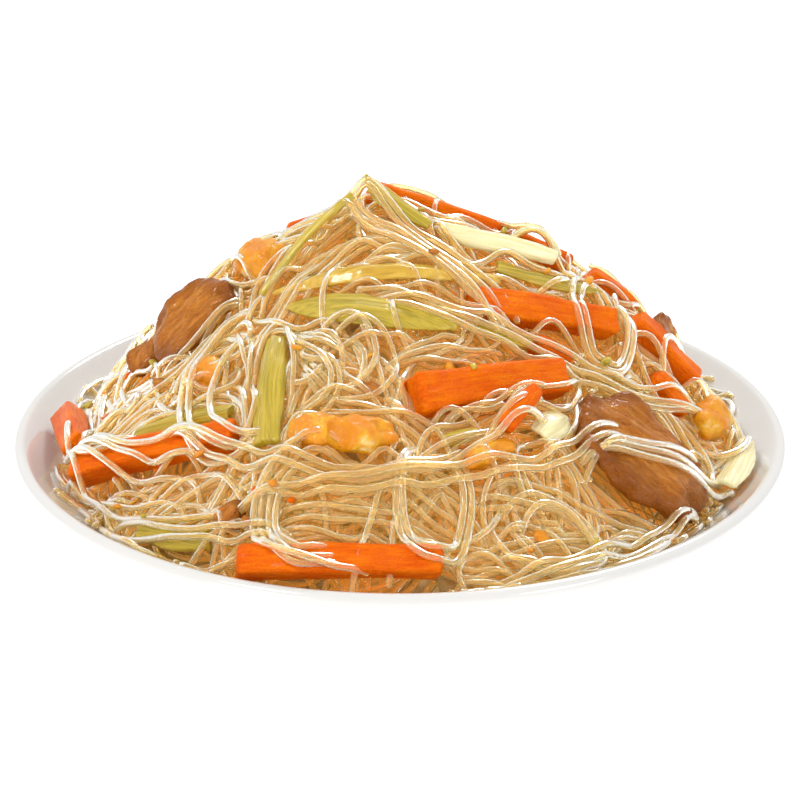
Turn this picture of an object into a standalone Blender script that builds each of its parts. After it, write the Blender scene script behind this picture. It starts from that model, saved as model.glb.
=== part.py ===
"""A plate of stir-fried rice vermicelli: a round dish, the heap of noodles, and what was fried with them.

Run it with: blender --background --python part.py
Metres, +Z up. The origin is the middle of the plate's foot, on the table. The plate's front is at -Y.
The tables below give places and sizes in millimetres, which MM turns into metres.
"""

import math

import bmesh
import bpy
from mathutils import Matrix, Vector, noise

MM = 0.001

# The plate, an eight-inch coupe of 4 mm stoneware.
PLATE_RADIUS = 102.0
PLATE_WALL = 4.0
PLATE_FLOOR_RADIUS = 56.0
PLATE_FLOOR_TOP = 6.0
PLATE_EDGE_HEIGHT = 25.5  # the middle of the rounded edge
PLATE_WALL_POWER = 1.8  # how late the wall turns up
PLATE_FOOT_RADIUS = 55.0
PLATE_FOOT_WIDTH = 5.0
PLATE_STEPS = 48

# The heap of noodles: a dome that leans to the left, with shoulders where it was piled.
HEAP_PEAK = (-6.0, 4.0)
HEAP_TOP = 87.0
HEAP_RADIUS = 90.0
HEAP_FRONT_REACH = 3.0  # how much further the heap spreads to the front
HEAP_DOME = 1.27  # 1 is a cone, 2 a round dome
HEAP_SEGMENTS = 40
HEAP_RINGS = 16
HEAP_LUMP = 1.5
HEAP_LUMP_SIZE = 15.0
HEAP_GAP = 0.6  # between the heap and the plate
SHOULDERS = (
    # x, y, height, spread
    (30, 6, 5.0, 22),
    (58, 12, 11.0, 19),
    (74, -4, 6.0, 15),
    (-44, 6, 4.5, 16),
    (-62, 18, 5.0, 20),
    (-80, 20, 7.0, 14),
    (-30, -50, 4.0, 18),
    (35, -55, 3.0, 18),
    (-15, 45, 4.0, 24),
)

BED_GAP = 0.7  # how far the bed in the noodles stands off a piece

# Carrot sticks: name, both ends as (x, y, lift above the heap), width, height, roll in degrees, bow.
CARROTS = (
    ("carrot_left_edge", (-88, 8, 7.4), (-79, -25, 5.6), 8.0, 6.5, 12, 0.4),
    ("carrot_left_long", (-80, -31, 3.5), (-39, -54, 1.0), 7.5, 7.5, 0, 1.0),
    ("carrot_front", (-37, -84, 3.4), (9, -86.5, 3.4), 8.0, 6.0, 0, 1.4),
    ("carrot_centre", (3, -51, 1.0), (40, -32, 0.5), 10.0, 8.5, 18, 0.6),
    ("carrot_diagonal", (24.5, -56.5, 3.6), (31, -46.5, 5.0), 4.6, 4.4, 10, 0.0),
    ("carrot_right_upper", (18, -23.5, 0.0), (54, -8, 1.5), 8.0, 7.0, 8, 0.5),
    ("carrot_right_lower", (33, -25.5, 0.4), (42, -24.5, 0.8), 5.0, 5.5, 0, 0.0),
    ("carrot_top", (-8, 7, 3.0), (44, 11, 1.0), 4.0, 6.5, 0, 1.6),
    ("carrot_top_left", (-29, 10, 1.0), (-17, 14, 0.0), 5.0, 5.0, 0, 0.0),
    ("carrot_right_back", (60, -2, 0.5), (76, -3, 1.0), 7.0, 7.5, 0, 0.0),
    ("carrot_right_side", (65, -13, 0.5), (73, -17, 0.8), 5.5, 6.0, 0, 0.0),
    ("carrot_right_far", (49, 8, 1.0), (62, 7, 0.5), 6.0, 5.0, 0, 0.3),
    ("carrot_back_low", (8, 71, 1.5), (38, 60, 1.5), 7.5, 7.0, 10, 0.5),
    ("carrot_back_left", (-66, 38, 1.5), (-45, 58, 1.5), 8.0, 6.5, 15, 0.3),
    ("carrot_back_high", (4, 28, 1.0), (33, 36, 1.0), 7.0, 6.0, 0, 0.5),
)

# Ribbons of celery and scallion: name, path as (x, y, lift), width, thickness, cupping, tip widths.
GREENS = (
    ("celery_thread", ((-10, -1, 8.5), (-14, -4, 8.0), (-22, -9, 6.4), (-33, -17, 4.2)), 2.6, 2.0, 0.1, (0.9, 0.7)),
    ("scallion_top", ((-7, 1.5, 12.0), (-5, 0.5, 7.6), (-0.5, -2.5, 4.8), (7, -4.5, 2.8)), 6.0, 1.6, 0.4, (0.1, 0.5)),
    ("scallion_bulb", ((9.5, -3.5, 1.8), (17, -3, 2.6), (28, -1, 4.2), (38, 1, 4.8)), 6.5, 4.0, 0.5, (0.35, 0.65)),
    ("onion_loop", ((28, 4.6, 2.2), (31, 5, 6.2), (35, 5, 7.0), (40, 4.5, 3.8)), 3.0, 1.4, 0.1, (0.7, 0.7)),
    ("celery_long", ((-31, -17, 2.6), (-17, -20.5, 2.6), (0, -20.5, 3.0), (24, -13.5, 3.0)), 5.5, 1.8, 0.3, (0.25, 0.6)),
    ("celery_leaf", ((-28, -22.5, 2.0), (-16, -29, 2.2), (-4, -33, 2.2), (14, -31.5, 2.0)), 9.0, 1.8, 0.3, (0.1, 0.35)),
    ("celery_right", ((24, -8.5, 2.4), (37, -6.5, 2.4), (51, -1, 2.2)), 4.5, 1.6, 0.3, (0.9, 0.3)),
    ("celery_upright", ((-31, -31, 0.6), (-31, -47, 2.2), (-31.5, -61, 2.6)), 7.5, 3.0, 0.5, (0.7, 1.0)),
    ("celery_left", ((-65, -34, 2.0), (-53, -40, 1.6), (-41, -46.5, 1.0)), 5.0, 3.0, 0.5, (1.0, 0.9)),
    ("celery_low_left", ((-62, -61, 2.0), (-53, -69, 2.2), (-44, -74.5, 2.0)), 6.5, 3.0, 0.5, (0.9, 0.8)),
    ("celery_mid_right", ((19, -30, 1.0), (26, -30, 1.4), (32, -28, 2.0)), 4.0, 1.6, 0.2, (0.4, 0.5)),
    ("celery_under", ((10, -60, 1.0), (14.5, -58.5, 0.8), (19, -57, 0.6)), 4.0, 2.2, 0.4, (0.9, 0.7)),
    ("celery_back_high", ((-30, 22, 1.6), (-16, 29, 1.8), (-3, 38, 1.6)), 6.5, 1.8, 0.3, (0.3, 0.6)),
    ("celery_back_low", ((-56, 57, 1.6), (-46, 64, 1.8), (-36, 69, 1.6)), 6.5, 3.0, 0.5, (0.9, 0.9)),
    ("onion_slice", ((34, -55.5, 1.2), (37, -50.5, 2.4), (40, -46, 1.6)), 8.5, 1.8, 0.6, (0.8, 0.9)),
    ("onion_right", ((79, -35, 5.0), (84, -24, 5.0), (87, -12, 5.0)), 7.5, 1.8, 0.5, (0.8, 0.6)),
)

# Scrambled egg: name, middle as (x, y, lift), size along, across and up, turn in degrees, lobes.
EGGS = (
    ("egg_top_left", (-36, 2, 0.8), (15, 12, 10), 20, 1, 3),
    ("egg_left", (-48.5, -30, 0.3), (12, 10, 9), 75, 1, 2),
    ("egg_centre", (-13.5, -62, 1.0), (24, 10.5, 9.5), -6, 2, 3),
    ("egg_small_right", (21, -62.5, 2.0), (15, 4.6, 5.5), 16, 1, 2),
    ("egg_right", (79, -14, 3.0), (16, 10, 8), 8, 1, 2),
    ("egg_back", (57, 52, 1.5), (17, 11, 9), 60, 2, 2),
    ("egg_back_left", (-20, 62, 1.5), (16, 11, 8), -20, 1, 2),
)

# Roast pork slices: name, middle as (x, y, lift), length, width, thickness, turn and tip in degrees, point.
PORK = (
    ("pork_big", (58, -44, 4.6), 40, 29, 7.0, -16, 0, 0.0),
    ("pork_left", (-52, -6, 3.2), 27, 19, 4.5, 14, 12, 0.0),
    ("pork_left_tip", (-65, 1, 2.2), 13, 9, 5.5, 70, 30, 0.75),
    ("pork_low_left", (-40, -72, 1.2), 8, 7, 5.0, 30, 0, 0.0),
    ("pork_right_back", (70, 11, 1.5), 15, 11, 4.0, 60, 35, 0.2),
    ("pork_back_right", (62, 34, 1.8), 22, 15, 5.0, -40, 0, 0.2),
)

# Each material's colour, roughness and metallic value.
FINISHES = {
    "porcelain": ((0.90, 0.89, 0.86), 0.15, 0.0),
    "noodle": ((0.87, 0.74, 0.50), 0.30, 0.0),
    "carrot": ((0.93, 0.30, 0.02), 0.35, 0.0),
    "green": ((0.60, 0.58, 0.14), 0.30, 0.0),
    "onion": ((0.85, 0.78, 0.52), 0.25, 0.0),
    "egg": ((0.90, 0.55, 0.05), 0.45, 0.0),
    "pork": ((0.40, 0.15, 0.05), 0.35, 0.0),
}


# ---------- plate ----------


def plate_wall(share):
    """The middle of the plate's wall, from the floor's edge at share 0 to the rim at 1, and its normal."""
    run = PLATE_RADIUS - PLATE_WALL / 2 - PLATE_FLOOR_RADIUS
    rise = PLATE_EDGE_HEIGHT - (PLATE_FLOOR_TOP - PLATE_WALL / 2)
    radius = PLATE_FLOOR_RADIUS + run * share
    height = PLATE_FLOOR_TOP - PLATE_WALL / 2 + rise * share**PLATE_WALL_POWER
    slope = rise / run * PLATE_WALL_POWER * max(share, 1e-6) ** (PLATE_WALL_POWER - 1)
    return Vector((radius, height)), Vector((-slope, 1.0)).normalized()


def plate_side(share, side):
    """A point on the wall's inner face, side 1, or its outer face, side -1."""
    middle, normal = plate_wall(share)
    return middle + normal * (side * PLATE_WALL / 2)


def plate_top(radius):
    """The height of the plate's inner face at this distance from its axis."""
    if radius <= PLATE_FLOOR_RADIUS:
        return PLATE_FLOOR_TOP
    low, high = 0.0, 1.0
    for _ in range(24):
        share = (low + high) / 2
        low, high = (share, high) if plate_side(share, 1).x < radius else (low, share)
    return plate_side(low, 1).y


def plate_profile():
    """From the middle of the floor out to the rim, round it, and down the outside to the foot's middle."""
    shares = [k / 5 for k in range(6)]
    points = [Vector((0, PLATE_FLOOR_TOP))]
    points += [plate_side(s, 1) for s in shares]
    middle, normal = plate_wall(1.0)
    for k in range(1, 4):
        turn = Matrix.Rotation(-math.pi * k / 4, 2)
        points.append(middle + turn @ normal * (PLATE_WALL / 2))
    points += [plate_side(s, -1) for s in reversed(shares) if plate_side(s, -1).x > PLATE_FOOT_RADIUS + 3]
    underside = PLATE_FLOOR_TOP - PLATE_WALL
    foot_inner = PLATE_FOOT_RADIUS - PLATE_FOOT_WIDTH
    points += [
        Vector((PLATE_FOOT_RADIUS + 1.0, 0.9)),
        Vector((PLATE_FOOT_RADIUS, 0)),
        Vector((foot_inner, 0)),
        Vector((foot_inner - 1.5, underside)),
        Vector((0, underside)),
    ]
    return points


# ---------- heap ----------


def base_radius(angle):
    """How far the heap spreads at this angle round the plate, 0 at +X."""
    wobble = 1.6 * math.sin(3 * angle + 0.7) + 0.9 * math.sin(7 * angle + 2.0)
    return HEAP_RADIUS - HEAP_FRONT_REACH * math.sin(angle) + wobble


def share_to_base(x, y):
    """How far (x, y) lies from the heap's peak, as a share of the way to the heap's edge, and the edge's radius."""
    from_peak = Vector((x - HEAP_PEAK[0], y - HEAP_PEAK[1]))
    edge = base_radius(math.atan2(y, x))
    if from_peak.length < 1e-6:
        return 0.0, edge
    way = from_peak.normalized()
    peak = Vector(HEAP_PEAK)
    along = peak.dot(way)
    reach = -along + math.sqrt(along * along - peak.length_squared + edge * edge)
    return from_peak.length / reach, edge


def surface(x, y):
    """The height of the heap, or of the plate beyond the heap."""
    share, edge = share_to_base(x, y)
    if share >= 1.0:
        return plate_top(math.hypot(x, y))
    foot = plate_top(edge)
    dome = 1 - share**HEAP_DOME
    piled = sum(h * math.exp(-((x - sx) ** 2 + (y - sy) ** 2) / r**2) for sx, sy, h, r in SHOULDERS)
    lumps = HEAP_LUMP * noise.noise(Vector((x, y, 0)) / HEAP_LUMP_SIZE)
    return foot + (HEAP_TOP - foot) * dome + (piled + lumps) * min(1.0, 4 * (1 - share))


def surface_normal(x, y, step=3.0):
    """Which way the heap faces there."""
    slope_x = (surface(x + step, y) - surface(x - step, y)) / (2 * step)
    slope_y = (surface(x, y + step) - surface(x, y - step)) / (2 * step)
    return Vector((-slope_x, -slope_y, 1.0)).normalized()


def lifted(place):
    """(x, y, lift) as a point that far off the heap, along the way the heap faces."""
    x, y, lift = place
    return Vector((x, y, surface(x, y))) + surface_normal(x, y) * lift


# ---------- shared modelling ----------


def clear_scene():
    for old in list(bpy.data.objects):
        bpy.data.objects.remove(old)


def new_collection(name):
    made = bpy.data.collections.new(name)
    bpy.context.scene.collection.children.link(made)
    return made


def material(name):
    if name in bpy.data.materials:
        return bpy.data.materials[name]
    colour, roughness, metallic = FINISHES[name]
    made = bpy.data.materials.new(name)
    made.use_nodes = True
    shader = made.node_tree.nodes["Principled BSDF"]
    shader.inputs["Base Color"].default_value = (*colour, 1.0)
    shader.inputs["Roughness"].default_value = roughness
    shader.inputs["Metallic"].default_value = metallic
    return made


def new_object(name, mesh, collection, finish):
    made = bpy.data.objects.new(name, mesh)
    collection.objects.link(made)
    mesh.materials.append(material(finish))
    return made


def object_from(name, bm, collection, finish):
    """Turns a bmesh in millimetres into an object in metres, shaded smooth."""
    bmesh.ops.scale(bm, vec=(MM, MM, MM), verts=bm.verts)
    bmesh.ops.recalc_face_normals(bm, faces=bm.faces)
    mesh = bpy.data.meshes.new(name)
    bm.to_mesh(mesh)
    bm.free()
    mesh.shade_smooth()
    mesh.set_sharp_from_angle(angle=math.radians(40))
    return new_object(name, mesh, collection, finish)


def applied(thing):
    """The object with its modifiers worked into its mesh."""
    graph = bpy.context.evaluated_depsgraph_get()
    mesh = bpy.data.meshes.new_from_object(thing.evaluated_get(graph))
    thing.modifiers.clear()
    thing.data = mesh
    return thing


def box_of_cells(cells):
    """A unit cube centred on the origin, cut into this many cells along X, Y and Z."""
    bm = bmesh.new()
    bmesh.ops.create_cube(bm, size=1.0)
    for axis, count in enumerate(cells):
        normal = Vector([float(axis == k) for k in range(3)])
        for cut in range(1, count):
            everything = bm.verts[:] + bm.edges[:] + bm.faces[:]
            bmesh.ops.bisect_plane(bm, geom=everything, plane_co=normal * (cut / count - 0.5), plane_no=normal)
    return bm


def smooth_path(points, share):
    """The point at this share of a Catmull-Rom curve through the points."""
    spans = len(points) - 1
    index = min(int(share * spans), spans - 1)
    t = share * spans - index
    near, far = points[index], points[index + 1]
    before = points[index - 1] if index else near * 2 - far
    after = points[index + 2] if index + 2 <= spans else far * 2 - near
    steady = 2 * near + (far - before) * t
    curved = (2 * before - 5 * near + 4 * far - after) * t**2
    return (steady + curved + (3 * near - before - 3 * far + after) * t**3) / 2


def path_frame(points, share, up):
    """The point at this share of the path, and the directions along, across and up there."""
    step = 0.02
    along = (smooth_path(points, min(1, share + step)) - smooth_path(points, max(0, share - step))).normalized()
    across = up.cross(along).normalized()
    return smooth_path(points, share), along, across, along.cross(across)


# ---------- pieces ----------


def build_plate(collection):
    bm = bmesh.new()
    corners = [bm.verts.new((p.x * MM, 0, p.y * MM)) for p in plate_profile()]
    for near, far in zip(corners, corners[1:]):
        bm.edges.new((near, far))
    mesh = bpy.data.meshes.new("plate")
    bm.to_mesh(mesh)
    bm.free()
    plate = new_object("plate", mesh, collection, "porcelain")
    turned = plate.modifiers.new("turned", "SCREW")
    turned.steps = PLATE_STEPS
    turned.render_steps = PLATE_STEPS
    turned.use_merge_vertices = True
    turned.merge_threshold = 0.00005
    return plate


def build_heap(collection):
    """A sphere whose upper half is lifted to the heap's surface and whose lower half lies on the plate."""
    bm = bmesh.new()
    bmesh.ops.create_uvsphere(bm, u_segments=HEAP_SEGMENTS, v_segments=HEAP_RINGS, radius=1.0)
    peak = Vector(HEAP_PEAK)
    for vert in bm.verts:
        way = Vector((vert.co.x, vert.co.y))
        share = math.acos(min(1.0, abs(vert.co.z))) / (math.pi / 2)
        if way.length < 1e-6:
            x, y = peak
        else:
            way.normalize()
            along = peak.dot(way)
            # The edge's radius depends on where the ray from the peak meets it, so it is found in two steps.
            reach = HEAP_RADIUS
            for _ in range(3):
                meets = peak + way * reach
                edge = base_radius(math.atan2(meets.y, meets.x))
                reach = -along + math.sqrt(along * along - peak.length_squared + edge * edge)
            x, y = peak + way * (reach * share * 0.999)
        bed = plate_top(math.hypot(x, y)) + HEAP_GAP
        vert.co = (x, y, bed if vert.co.z < -1e-6 else max(surface(x, y), bed + 0.05) + HEAP_GAP)
    return object_from("noodles", bm, collection, "noodle")


def build_carrot(row, collection):
    """A hand-cut stick: a box bowed along its length, a little narrower at one end, with broken edges."""
    name, start, end, width, height, roll, bow = row
    ends = [lifted(start), lifted(end)]
    middle = (ends[0] + ends[1]) / 2
    normal = surface_normal(middle.x, middle.y)
    path = [ends[0], middle + normal * bow, ends[1]]
    bm = box_of_cells((3, 1, 1))
    for vert in bm.verts:
        share = vert.co.x + 0.5
        point, along, across, up = path_frame(path, share, normal)
        lean = Matrix.Rotation(math.radians(roll), 3, along)
        taper = 1.0 - 0.12 * share + 0.05 * math.sin(9 * share + len(name))
        slant = along * (vert.co.z * height * 0.22 if share in (0.0, 1.0) else 0.0)
        vert.co = point + slant + lean @ (across * vert.co.y * width * taper + up * vert.co.z * height * taper)
    stick = object_from(name, bm, collection, "carrot")
    rounded = stick.modifiers.new("broken edges", "BEVEL")
    rounded.width = 0.7 * MM
    rounded.segments = 1
    rounded.limit_method = "ANGLE"
    rounded.angle_limit = math.radians(40)
    return applied(stick)


def build_green(row, collection):
    """A cut ribbon of stalk, leaf or onion: a flat box along a path, cupped across and tapered to its tips."""
    name, path, width, thickness, cupping, tips = row
    points = [lifted(place) for place in path]
    middle = smooth_path(points, 0.5)
    normal = surface_normal(middle.x, middle.y)
    bm = box_of_cells((6, 2, 1))
    for vert in bm.verts:
        share, side, face = vert.co.x + 0.5, vert.co.y, vert.co.z
        point, _, across, up = path_frame(points, share, normal)
        swell = math.sin(math.pi * share) ** 0.6
        tip = tips[0] + (tips[1] - tips[0]) * share
        spread = width * (tip + (1 - tip) * swell)
        droop = cupping * spread * (2 * side) ** 2 / 3
        rib = thickness * (1 - 0.45 * abs(2 * side))
        vert.co = point + across * side * spread + up * (face * rib - droop)
    kind = "onion" if name.startswith(("onion", "scallion_bulb")) else "green"
    return object_from(name, bm, collection, kind)


def build_egg(row, collection):
    """A scrambled lump: a sphere pulled into one or two lobes, with a knobbly skin."""
    name, place, size, turn, lobes, detail = row
    middle = lifted(place)
    normal = surface_normal(place[0], place[1])
    lie = normal.to_track_quat("Z", "Y").to_matrix() @ Matrix.Rotation(math.radians(turn), 3, "Z")
    bm = bmesh.new()
    bmesh.ops.create_icosphere(bm, subdivisions=detail, radius=0.5)
    for vert in bm.verts:
        co = vert.co.copy()
        waist = 1 - 0.28 * (lobes - 1) * math.exp(-((co.x + 0.06) / 0.13) ** 2)
        knobs = 1 + 0.22 * noise.noise(co * 5 + middle * 0.1)
        square = 1 + 0.25 * (abs(co.x) + abs(co.y) - 0.5)
        co = Vector((co.x, co.y * waist, co.z * waist)) * knobs * square
        vert.co = middle + lie @ Vector((co.x * size[0], co.y * size[1], co.z * size[2]))
    return object_from(name, bm, collection, "egg")


def build_pork(row, collection):
    """A slice of roast pork: an oval slab with a wavy outline, thin at its edges and draped on the heap."""
    name, place, length, width, thickness, turn, tip, point_share = row
    middle = lifted(place)
    normal = surface_normal(place[0], place[1], step=9.0)
    level = Vector((1, 0, 0)) - normal * normal.x
    lie = Matrix.Rotation(math.radians(turn), 3, normal) @ Matrix.Rotation(math.radians(tip), 3, level.normalized())
    along = lie @ level.normalized()
    up = lie @ normal
    across = up.cross(along)
    bm = box_of_cells((5, 4, 2))
    for vert in bm.verts:
        x, y, face = 2 * vert.co.x, 2 * vert.co.y, vert.co.z
        reach = max(abs(x), abs(y))
        angle = math.atan2(y, x)
        oval = reach / (abs(math.cos(angle)) ** 2.6 + abs(math.sin(angle)) ** 2.6) ** (1 / 2.6)
        outline = oval * (1 + 0.05 * math.sin(3 * angle + len(name)) + 0.03 * math.sin(7 * angle))
        narrow = 1 - point_share * max(0.0, math.cos(angle)) * reach
        edge = 1 - 0.45 * reach**4
        sag = 0.06 * length * (outline * math.cos(angle)) ** 2
        wave = 0.6 * math.sin(3.5 * x + 2 * y)
        offset = along * (outline * math.cos(angle) * length / 2)
        offset += across * (outline * math.sin(angle) * narrow * width / 2)
        vert.co = middle + offset + up * (face * thickness * edge - sag + wave)
    return object_from(name, bm, collection, "pork")


def bed_cutter(piece, collection):
    """A slightly larger copy of a piece, which makes its bed in the noodles."""
    cutter = bpy.data.objects.new(piece.name + "_bed", piece.data.copy())
    collection.objects.link(cutter)
    grown = cutter.modifiers.new("grown", "DISPLACE")
    grown.strength = BED_GAP * MM
    grown.mid_level = 0.0
    cutter.hide_render = True
    cutter.display_type = "WIRE"
    return cutter


def keep_largest_body(thing):
    """Drops the crumbs that the beds cut loose from a mesh."""
    bm = bmesh.new()
    bm.from_mesh(thing.data)
    unseen, bodies = set(bm.verts), []
    while unseen:
        body, edge = set(), [unseen.pop()]
        while edge:
            vert = edge.pop()
            body.add(vert)
            nearby = {e.other_vert(vert) for e in vert.link_edges} & unseen
            unseen -= nearby
            edge += nearby
        bodies.append(body)
    crumbs = [vert for body in sorted(bodies, key=len)[:-1] for vert in body]
    bmesh.ops.delete(bm, geom=crumbs, context="VERTS")
    bm.to_mesh(thing.data)
    bm.free()


def main():
    clear_scene()
    dish = new_collection("plate_of_vermicelli")
    cutters = new_collection("cutters")
    build_plate(dish)
    heap = build_heap(dish)
    pieces = [build_carrot(row, dish) for row in CARROTS]
    pieces += [build_green(row, dish) for row in GREENS]
    pieces += [build_egg(row, dish) for row in EGGS]
    pieces += [build_pork(row, dish) for row in PORK]
    for piece in pieces:
        bed = heap.modifiers.new(piece.name, "BOOLEAN")
        bed.operation = "DIFFERENCE"
        bed.object = bed_cutter(piece, cutters)
    keep_largest_body(applied(heap))


main()
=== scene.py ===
"""Looks for a plate of stir-fried rice vermicelli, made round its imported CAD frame.

The heap's solid gives way to real strands. Each strand wanders over the plate as seen from above, towards
where the heap still has room, and is then laid on whatever lies there, as when noodles slide out of a wok.
The laying is worked out in millimetres. Everything in Blender is in metres.
"""

import math

import bmesh
import bpy
import numpy as np
from mathutils import Euler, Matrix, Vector, noise


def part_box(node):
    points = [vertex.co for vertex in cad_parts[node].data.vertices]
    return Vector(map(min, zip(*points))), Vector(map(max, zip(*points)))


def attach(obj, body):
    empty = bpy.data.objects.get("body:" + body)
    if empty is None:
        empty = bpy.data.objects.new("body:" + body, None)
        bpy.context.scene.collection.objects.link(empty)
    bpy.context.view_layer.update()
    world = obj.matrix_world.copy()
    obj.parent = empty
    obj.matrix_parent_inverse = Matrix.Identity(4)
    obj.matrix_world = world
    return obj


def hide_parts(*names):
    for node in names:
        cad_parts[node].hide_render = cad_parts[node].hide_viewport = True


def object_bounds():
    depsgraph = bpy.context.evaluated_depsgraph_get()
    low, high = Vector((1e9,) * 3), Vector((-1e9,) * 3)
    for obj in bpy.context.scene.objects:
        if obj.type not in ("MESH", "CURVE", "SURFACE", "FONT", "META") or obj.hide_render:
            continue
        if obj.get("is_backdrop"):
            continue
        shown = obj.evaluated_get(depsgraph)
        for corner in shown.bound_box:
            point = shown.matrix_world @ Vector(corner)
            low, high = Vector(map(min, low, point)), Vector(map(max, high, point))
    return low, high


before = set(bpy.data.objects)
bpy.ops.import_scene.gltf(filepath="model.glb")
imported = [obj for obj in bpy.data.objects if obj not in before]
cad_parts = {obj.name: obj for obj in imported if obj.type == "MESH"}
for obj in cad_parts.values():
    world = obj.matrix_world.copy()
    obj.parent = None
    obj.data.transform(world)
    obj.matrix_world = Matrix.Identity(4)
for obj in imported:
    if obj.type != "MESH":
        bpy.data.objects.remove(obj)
cad_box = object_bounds()

MM = 0.001
TO_MILLIMETRES = 1000
SEED = 7

# The camera: a long lens, a little above the plate.
CAMERA_RISE = math.radians(22.8)
CAMERA_DISTANCE = 0.650
CAMERA_AIM = Vector((0, 0, 0.0336))
CAMERA_LENS = 110.35

# Strands, in millimetres.
STRAND_RADIUS = 0.86
SHOWN_RADIUS = 0.95
SHOWN_SIDES = 8
BED_SIDES = 5
STRAND_STEP = 1.5
STRAND_SIDES = 7
TRIES = 4000
HEAP_SKIN = 7.5  # how deep the real strands lie over the core
CARPETS = (5.8, 4.4)  # the depths at which sunken strands make a dense bed for the ones on show
CARPET_COVER = 0.76  # the share of the heap that each bed covers
EDGE_COVER = 0.9  # the share of the heap's thin edge that strands cover
PROUD = 3.0  # how far a strand may stand above the heap's outline
FULL_ENOUGH = 0.28  # the mean depth left to fill when the laying stops
SAG_SPAN = 3.4  # how far a strand bridges between what it lies on
PRESSED = 0.8
FOOD_REACH = 95.0
END_DIVE = 4.5
END_DIVE_LENGTH = 12.0
OVER_TOPPINGS = 0.12  # the most of a strand that may lie over toppings
SHORTEST = 18.0
HALF_LENGTHS = (45.0, 130.0)
CURLY = 0.65  # the share of strands that loop
SIDE_GAP = 1.9  # between strands that run side by side

# The plate's inside measures, in millimetres; its size comes from the frame.
PLATE_WALL = 4.0
PLATE_FLOOR = 56.0  # the radius where the wall starts
PLATE_BED = 4.0  # the height of the floor's middle
PLATE_WALL_POWER = 1.8
PLATE_FOOT = 55.0

# The grid that the strands are laid on, in millimetres.
CELL = 0.4
REACH = 104.0
NOWHERE = -1000.0
BLOCK = 10  # cells to a side of the blocks that the next strand's place is chosen by

# Strands that stand out, laid last in groups of so many side by side.
# Loops: strands, the piece it lies by, its middle from that piece's middle, its half width and half depth,
# the angle that it starts at, and the angle that it turns through.
LOOPS = (
    (3, "carrot_front", (-6, 9), (13, 14), 60, 250),
    (1, "carrot_front", (-2, 9), (20, 15), 100, 200),
    (2, "carrot_front", (22, 11), (9, 15), 110, 320),
    (2, "carrot_front", (50, 10), (13, 8), 200, 320),
    (2, "celery_upright", (-7, 8), (16, 23), 80, 220),
    (1, "celery_upright", (-3, 5), (12, 18), 100, 200),
    (1, "carrot_right_side", (10, 4), (12, 15), 240, 300),
    (2, "carrot_right_upper", (16, 6), (8, 13), 100, 330),
    (2, "carrot_left_long", (-10, 15), (11, 12), 60, 260),
)
LOOP_STEP = 30
LOOP_SWELL = 0.07
# Sweeps: strands, the piece that it starts on, the piece that it ends on, and how far it bows to the left.
SWEEPS = (
    (3, "celery_leaf", "egg_right", -9),
    (4, "egg_top_left", "celery_mid_right", 4),
    (2, "carrot_left_long", "onion_slice", -26),
    (2, "pork_low_left", "pork_big", -13),
    (1, "carrot_left_edge", "pork_low_left", -14),
)
# Arcs round the plate's middle: strands, then the distance and angle where it starts and where it ends.
EDGE_ARCS = (
    (2, (92, 218), (88, 254)),
    (2, (94, 282), (90, 325)),
    (3, (72, 307), (92, 338)),
    (3, (90, 198), (76, 230)),
)
ARC_STOPS = 6

# How strongly strands keep off each kind of piece, in millimetres of room.
SHYNESS = {"carrot": 3.0, "celery": 3.0, "scallion": 6.0, "onion": 3.5, "egg": 3.0, "pork": 4.0}
HALF_BURIED = ("egg_left", "pork_left", "celery_left")


# ---------- materials ----------


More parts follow.
